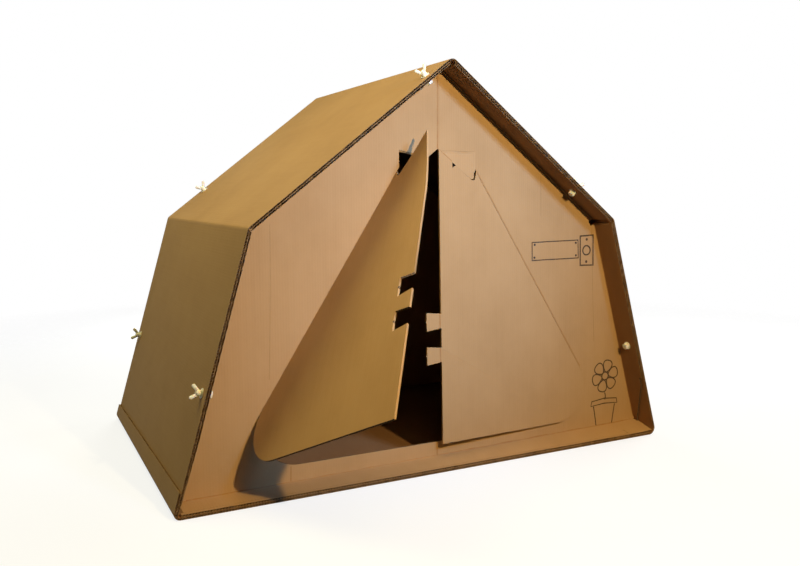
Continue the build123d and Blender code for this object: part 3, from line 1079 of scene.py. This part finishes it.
def build_creases():
    """Creases pressed in the front sheet: the centre line, the bottom fold and faint old folds,
    drawn as darker lines that are crushed paper and painted shade.

    Points are X and Z in millimetres.
    """
    sheets, drawings = bpy.context.scene.tent_sheets, bpy.context.scene.tent_drawings
    face_y = sheet_face(sheets, -1)
    fold_left, fold_length, fold_height, fold_steps = -612, 1236, 12.6, 41
    fold = []
    for index in range(fold_steps + 1):
        x = fold_left + fold_length * index / fold_steps
        ragged = 0.9 * math.sin(1.9 * index) + 0.6 * math.sin(4.7 * index)
        fold.append((x, fold_height + fold_rise(sheets, x * MM) / MM + ragged))
    pressed = [
        ([(0, 762), (0, 850), (0, 944)], False, True),
        (fold, False, True),
        ([(3, 762), (20, 749), (38, 735)], False, True),
        ([(106, 716), (437.4, 198)], False, False),
        ([(0, 22), (0, 50)], False, False),
        ([(-378, 15), (-377, 50)], False, False),
    ]
    faint = [
        ([(-414, 594), (-415, 430), (-423, 254)], False, True),
        ([(300, 722), (301, 660), (302, 600)], False, True),
        ([(468, 566), (474, 430), (484, 260)], False, True),
        ([(10, 758), (38, 759.5), (66, 757), (100, 758)], False, True),
    ]
    covers = [
        ([(9, 755), (40, 755.5), (70, 754.5), (102, 755)], False, True),
        ([(101.5, 756), (101.5, 708)], False, False),
    ]
    groups = (
        # Pressed and faint creases are darker lines, crushed paper and painted shade; the tab
        # covers are plain kraft
        ("pressed_creases", pressed, 3.4 * MM, (sheets.crease, sheets.kraft_dark)),
        ("faint_creases", faint, 1.5 * MM, (sheets.kraft_dark * 0.8, sheets.kraft_dark)),
        ("tab_creases", covers, 4.6 * MM, (sheets.kraft, sheets.kraft_pale)),
    )
    for name, strokes, width, (dark, pale) in groups:
        bm = bmesh.new()
        lay_strokes(bm, strokes, width, drawings.film, face_y)
        place_piece(name, bm, [crease_material(sheets, name, dark, pale)], "tent")


# Stage

def view_axes(stage):
    """Right, up and forward of the camera."""
    forward = Vector((
        math.sin(stage.yaw) * math.cos(stage.pitch),
        math.cos(stage.yaw) * math.cos(stage.pitch),
        math.sin(stage.pitch),
    ))
    level = Vector((math.cos(stage.yaw), -math.sin(stage.yaw), 0.0))
    right = level * math.cos(stage.roll) + level.cross(forward) * math.sin(stage.roll)
    return right, right.cross(forward), forward


def camera_rays(tree):
    """1 for what the camera sees, straight or in a gloss, and 0 for other light."""
    path = add(tree, "LightPath").outputs
    seen = math_node(tree, "MAXIMUM", path["Is Camera Ray"], path["Is Glossy Ray"])
    return math_node(tree, "MAXIMUM", seen, path["Is Transmission Ray"])


def floor_material(stage):
    """Pale matt floor, lifted towards white for the camera; it keeps the tent's shadow."""
    material, tree, shader = fresh_material("pale_floor")
    place = add(tree, "TexCoord").outputs["Object"]
    clouds = grain(tree, place, 1.5, 3.0, 0.5)
    seen = camera_rays(tree)
    dull, shade, pale = (tuple(part * share for part in stage.floor) for share in (0.06, 0.27, 0.3))
    lit = ramp(tree, clouds, ((0.3, shade), (0.7, pale)))
    mix = add(tree, "Mix", {0: seen, 6: (*dull, 1.0), 7: lit}, data_type="RGBA")
    tree.links.new(mix.outputs[2], shader.inputs["Base Color"])
    shader.inputs["Roughness"].default_value = 0.9
    shader.inputs["Specular IOR Level"].default_value = 0.1
    shader.inputs["Emission Color"].default_value = (1.0, 1.0, 1.0, 1.0)
    tree.links.new(math_node(tree, "MULTIPLY", seen, 0.78), shader.inputs["Emission Strength"])
    reach = add(tree, "VectorMath", {0: place}, operation="LENGTH").outputs["Value"]
    fade = spread(tree, reach, stage.floor_reach * 0.45, stage.floor_reach, 1.0, 0.0)
    tree.links.new(fade, shader.inputs["Alpha"])
    return material


def add_lamp(name, kind, place, target, colour, power, **settings):
    """A lamp that points at its target."""
    data = bpy.data.lights.new(name, kind)
    data.color = colour
    data.energy = power
    for key, value in settings.items():
        setattr(data, key, value)
    lamp = bpy.data.objects.new(name, data)
    lamp.location = place
    lamp.rotation_euler = (Vector(target) - Vector(place)).to_track_quat("-Z", "Y").to_euler()
    bpy.context.scene.collection.objects.link(lamp)


def add_floor(stage):
    """The floor, which fades out before its edge."""
    bm = bmesh.new()
    bmesh.ops.create_grid(bm, x_segments=2, y_segments=2, size=stage.floor_reach)
    mesh = bpy.data.meshes.new("floor")
    bm.to_mesh(mesh)
    bm.free()
    mesh.materials.append(floor_material(stage))
    floor = bpy.data.objects.new("floor", mesh)
    bpy.context.scene.collection.objects.link(floor)


def add_lamps(stage):
    """Warm key, cool pool of light on the front, and soft lamps for the other sides."""
    add_lamp(
        "warm_key", "POINT", stage.key_place, (0.0, -0.35, 0.45), stage.key, stage.key_power,
        shadow_soft_size=0.03,
    )
    add_lamp(
        "window_pool", "SPOT", (0.45, -2.0, 1.5), (0.0, -0.37, 0.6), stage.cool, stage.cool_power,
        spot_size=math.radians(40), spot_blend=1.0, shadow_soft_size=0.2,
    )
    for name, place, target, colour, power, size in (
        ("top_soft", (-1.05, 0.0, 2.05), (-0.2, 0.0, 0.5), stage.top, stage.top_power, 1.0),
        ("front_fill", (0.0, -0.95, 2.3), (0.0, -0.4, 0.0), stage.key, stage.fill_power, 0.8),
        ("back_soft", (0.5, 2.4, 0.75), (0.0, 0.35, 0.45), stage.sky, stage.back_power, 1.0),
        ("side_soft", (2.4, 0.3, 1.3), (0.5, 0.1, 0.4), stage.sky, stage.side_power, 1.2),
    ):
        add_lamp(name, "AREA", place, target, colour, power, size=size)


def add_room(stage):
    """Faint light all round, and white behind the tent."""
    world = bpy.data.worlds.new("room")
    bpy.context.scene.world = world
    world.use_nodes = True
    tree = world.node_tree
    background = tree.nodes["Background"].inputs
    seen = camera_rays(tree)
    ends = {0: seen, 6: (*stage.sky, 1.0), 7: (1.0, 1.0, 1.0, 1.0)}
    tree.links.new(add(tree, "Mix", ends, data_type="RGBA").outputs[2], background["Color"])
    tree.links.new(spread(tree, seen, 0.0, 1.0, stage.sky_level, 1.0), background["Strength"])


def add_camera(stage):
    """The camera, at the photograph's viewing angle."""
    right, up, forward = view_axes(stage)
    turn = Matrix((right, up, -forward)).transposed().to_4x4()
    data = bpy.data.cameras.new("photo_view")
    data.lens = stage.lens
    data.sensor_width = 36.0
    camera = bpy.data.objects.new("photo_view", data)
    camera.matrix_world = Matrix.Translation(stage.camera) @ turn
    bpy.context.scene.collection.objects.link(camera)
    bpy.context.scene.camera = camera


def build_stage():
    """Floor, lamps, room light and the camera."""
    stage = bpy.context.scene.tent_stage
    bpy.context.scene.view_settings.view_transform = "Standard"
    add_floor(stage)
    add_lamps(stage)
    add_room(stage)
    add_camera(stage)


# Operators

class TENT_OT_sleeve(bpy.types.Operator):
    """Fold the sleeve"""

    bl_idname = "tent.sleeve"
    bl_label = "Folded sleeve"

    def execute(self, context):
        build_sleeve()
        return {"FINISHED"}


class TENT_OT_end_sheets(bpy.types.Operator):
    """Fold the two end sheets"""

    bl_idname = "tent.end_sheets"
    bl_label = "End sheets"

    def execute(self, context):
        build_end_sheet("front_sheet", "front_panel", -1)
        build_end_sheet("back_sheet", "back_panel", 1)
        return {"FINISHED"}


class TENT_OT_doors(bpy.types.Operator):
    """Cut the two door flaps"""

    bl_idname = "tent.doors"
    bl_label = "Door flaps"

    def execute(self, context):
        build_door("left_door_flap", "left_door", "left_flap", "left_door_hinge")
        build_door("right_door_flap", "right_door", "right_flap", "right_door_hinge")
        return {"FINISHED"}


class TENT_OT_fasteners(bpy.types.Operator):
    """Put in the nylon screws and wing nuts"""

    bl_idname = "tent.fasteners"
    bl_label = "Screws and wing nuts"

    def execute(self, context):
        build_fasteners()
        return {"FINISHED"}


class TENT_OT_drawings(bpy.types.Operator):
    """Print the line drawings on the front sheet"""

    bl_idname = "tent.drawings"
    bl_label = "Line drawings"

    def execute(self, context):
        build_drawings()
        return {"FINISHED"}


class TENT_OT_creases(bpy.types.Operator):
    """Press the creases in the front sheet"""

    bl_idname = "tent.creases"
    bl_label = "Creases"

    def execute(self, context):
        build_creases()
        return {"FINISHED"}


class TENT_OT_stage(bpy.types.Operator):
    """Set the floor, lamps and camera"""

    bl_idname = "tent.stage"
    bl_label = "Stage"

    def execute(self, context):
        build_stage()
        return {"FINISHED"}


OPERATORS = (
    TENT_OT_sleeve,
    TENT_OT_end_sheets,
    TENT_OT_doors,
    TENT_OT_fasteners,
    TENT_OT_drawings,
    TENT_OT_creases,
    TENT_OT_stage,
)
SETTINGS = {
    "tent_sheets": SheetSettings,
    "tent_fasteners": FastenerSettings,
    "tent_drawings": DrawingSettings,
    "tent_stage": StageSettings,
}


class TENT_PT_panel(bpy.types.Panel):
    """Buttons for every piece of the tent"""

    bl_idname = "TENT_PT_panel"
    bl_label = "Card play tent"
    bl_space_type = "VIEW_3D"
    bl_region_type = "UI"
    bl_category = "Tent"

    def draw(self, context):
        for operator in OPERATORS:
            self.layout.operator(operator.bl_idname)


CLASSES = (*SETTINGS.values(), *OPERATORS, TENT_PT_panel)


def register():
    """Register the classes and hang the settings on the scene."""
    for item in CLASSES:
        bpy.utils.register_class(item)
    for name, group in SETTINGS.items():
        setattr(bpy.types.Scene, name, PointerProperty(type=group))


def unregister():
    """Take the settings and classes away again."""
    for name in SETTINGS:
        delattr(bpy.types.Scene, name)
    for item in reversed(CLASSES):
        bpy.utils.unregister_class(item)


def main():
    """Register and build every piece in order."""
    register()
    bpy.ops.tent.sleeve()
    bpy.ops.tent.end_sheets()
    bpy.ops.tent.doors()
    bpy.ops.tent.fasteners()
    bpy.ops.tent.drawings()
    bpy.ops.tent.creases()
    bpy.ops.tent.stage()


if __name__ == "__main__":
    main()
